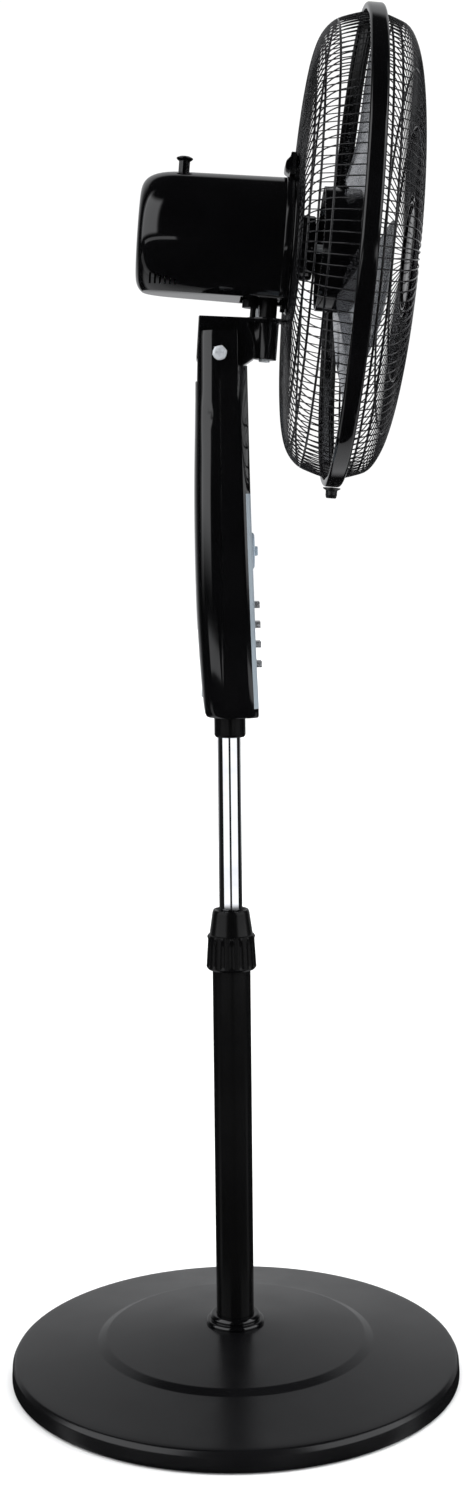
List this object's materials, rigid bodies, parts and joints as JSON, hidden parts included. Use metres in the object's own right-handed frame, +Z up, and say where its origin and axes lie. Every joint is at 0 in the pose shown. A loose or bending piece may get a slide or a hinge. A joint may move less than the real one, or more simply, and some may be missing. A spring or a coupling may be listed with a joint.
{
  "type": "pedestal fan",
  "caption": "Free-standing black pedestal fan with a wire-guarded oscillating head, chrome telescopic pole, push-button housing with timer and round weighted base.",
  "frame": {"origin": "centre of the round base, on the floor under the feet", "axes": "+X the way the air blows, +Y to the fan's left seen from behind, +Z up the pole"},
  "size_m": [0.436, 0.436, 1.2857],
  "materials": {
    "satin_black": "satin",
    "gloss_black": "gloss",
    "black_paint": "satin",
    "ballast": "rough",
    "foot_rubber": "matte",
    "chrome": "polished",
    "zinc_steel": "satin",
    "laminations": "satin",
    "copper": "satin",
    "bronze": "satin",
    "cast_aluminium": "cast",
    "grey_panel": "satin",
    "silver_key": "satin metallic",
    "dial_grey": "satin",
    "nylon": "matte",
    "smoke_plastic": "gloss smoky"
  },
  "bodies": {
    "base": {"base_cover": "satin_black", "base_weight": "ballast", "base_feet": "foot_rubber", "base_bolts": "zinc_steel", "tube_foot": "ballast", "pole_flange": "satin_black", "lower_tube": "black_paint", "tube_bush": "nylon", "clamp_collet": "nylon"},
    "collar": {"height_collar": "satin_black"},
    "mast": {"chrome_tube": "chrome", "tube_guide": "nylon", "pole_socket": "satin_black", "socket_screw": "zinc_steel", "housing_rear": "gloss_black", "housing_front": "gloss_black", "control_panel": "grey_panel", "housing_screws": "zinc_steel", "switch_body": "nylon", "timer_body": "nylon", "terminal_block": "nylon", "cord_gland": "satin_black", "tilt_bolt": "zinc_steel", "tilt_nut": "zinc_steel"},
    "off_key": {"button_off": "silver_key"},
    "low_key": {"button_low": "silver_key"},
    "medium_key": {"button_medium": "silver_key"},
    "high_key": {"button_high": "silver_key"},
    "timer": {"timer_dial": "dial_grey"},
    "neck": {"neck_bracket": "gloss_black", "pivot_bush": "bronze", "link_post": "zinc_steel"},
    "head": {"motor_yoke": "black_paint", "pivot_pin": "zinc_steel", "front_bell": "cast_aluminium", "rear_bell": "cast_aluminium", "stator_core": "laminations", "stator_coils": "copper", "bearings": "bronze", "capacitor": "nylon", "gearbox": "nylon", "motor_cover": "gloss_black", "guard_plate": "gloss_black", "guard_nut": "gloss_black", "rear_guard_wires": "black_paint", "rear_guard_rings": "black_paint", "front_guard_wires": "black_paint", "front_guard_rings": "black_paint", "front_badge": "gloss_black", "guard_ring": "gloss_black", "guard_clip": "satin_black"},
    "knob": {"oscillation_knob": "gloss_black"},
    "rotor": {"motor_shaft": "zinc_steel", "rotor_core": "laminations", "fan_blade": "smoke_plastic", "blade_nut": "gloss_black"},
    "crank": {"crank_disc": "zinc_steel", "crank_gear": "nylon"},
    "link": {"link_rod": "zinc_steel"}
  },
  "joints": [
    {"name": "collar_turn", "type": "hinge", "parent": "base", "child": "collar", "pos_m": [0, 0, 0.43], "axis": [0, 0, 1], "range_deg": [-90, 30]},
    {"name": "mast_height", "type": "slide", "parent": "base", "child": "mast", "axis": [0, 0, 1], "range_m": [-0.158, 0.1]},
    {"name": "off_press", "type": "slide", "parent": "mast", "child": "off_key", "axis": [-1, 0, 0], "range_m": [0, 0.004], "stiffness_N_per_m": 400},
    {"name": "low_press", "type": "slide", "parent": "mast", "child": "low_key", "axis": [-1, 0, 0], "range_m": [0, 0.004], "stiffness_N_per_m": 400},
    {"name": "medium_press", "type": "slide", "parent": "mast", "child": "medium_key", "axis": [-1, 0, 0], "range_m": [0, 0.004], "stiffness_N_per_m": 400},
    {"name": "high_press", "type": "slide", "parent": "mast", "child": "high_key", "axis": [-1, 0, 0], "range_m": [0, 0.004], "stiffness_N_per_m": 400},
    {"name": "timer_turn", "type": "hinge", "parent": "mast", "child": "timer", "pos_m": [0.02, 0, 0.7975], "axis": [-1, 0, 0], "range_deg": [-30, 300]},
    {"name": "head_tilt", "type": "hinge", "parent": "mast", "child": "neck", "pos_m": [-0.00518, 0, 0.97728], "axis": [0, -1, 0], "range_deg": [-5, 22]},
    {"name": "oscillation", "type": "hinge", "parent": "neck", "child": "head", "pos_m": [0.0397, 0, 1.00993], "axis": [0.0861, 0, 0.9963], "range_deg": [-37.5, 37.5]},
    {"name": "knob_press", "type": "slide", "parent": "head", "child": "knob", "axis": [-0.0861, 0, -0.9963], "range_m": [0, 0.006]},
    {"name": "fan_spin", "type": "hinge", "parent": "head", "child": "rotor", "pos_m": [0.117, 0, 1.0705], "axis": [0.9963, 0, -0.0861], "continuous": true},
    {"name": "crank_turn", "type": "hinge", "parent": "head", "child": "crank", "pos_m": [-0.04423, 0, 1.04228], "axis": [0.0861, 0, 0.9963], "range_deg": [-91, 91]},
    {"name": "link_swing", "type": "hinge", "parent": "neck", "child": "link", "pos_m": [0.03442, 0.0197, 1.03247], "axis": [0.0861, 0, 0.9963], "range_deg": [-40, 40]}
  ],
  "couplings": [
    {"joint": "crank_turn", "follows": "oscillation", "ratio": 2.4},
    {"joint": "link_swing", "follows": "oscillation", "ratio": 1.04}
  ]
}
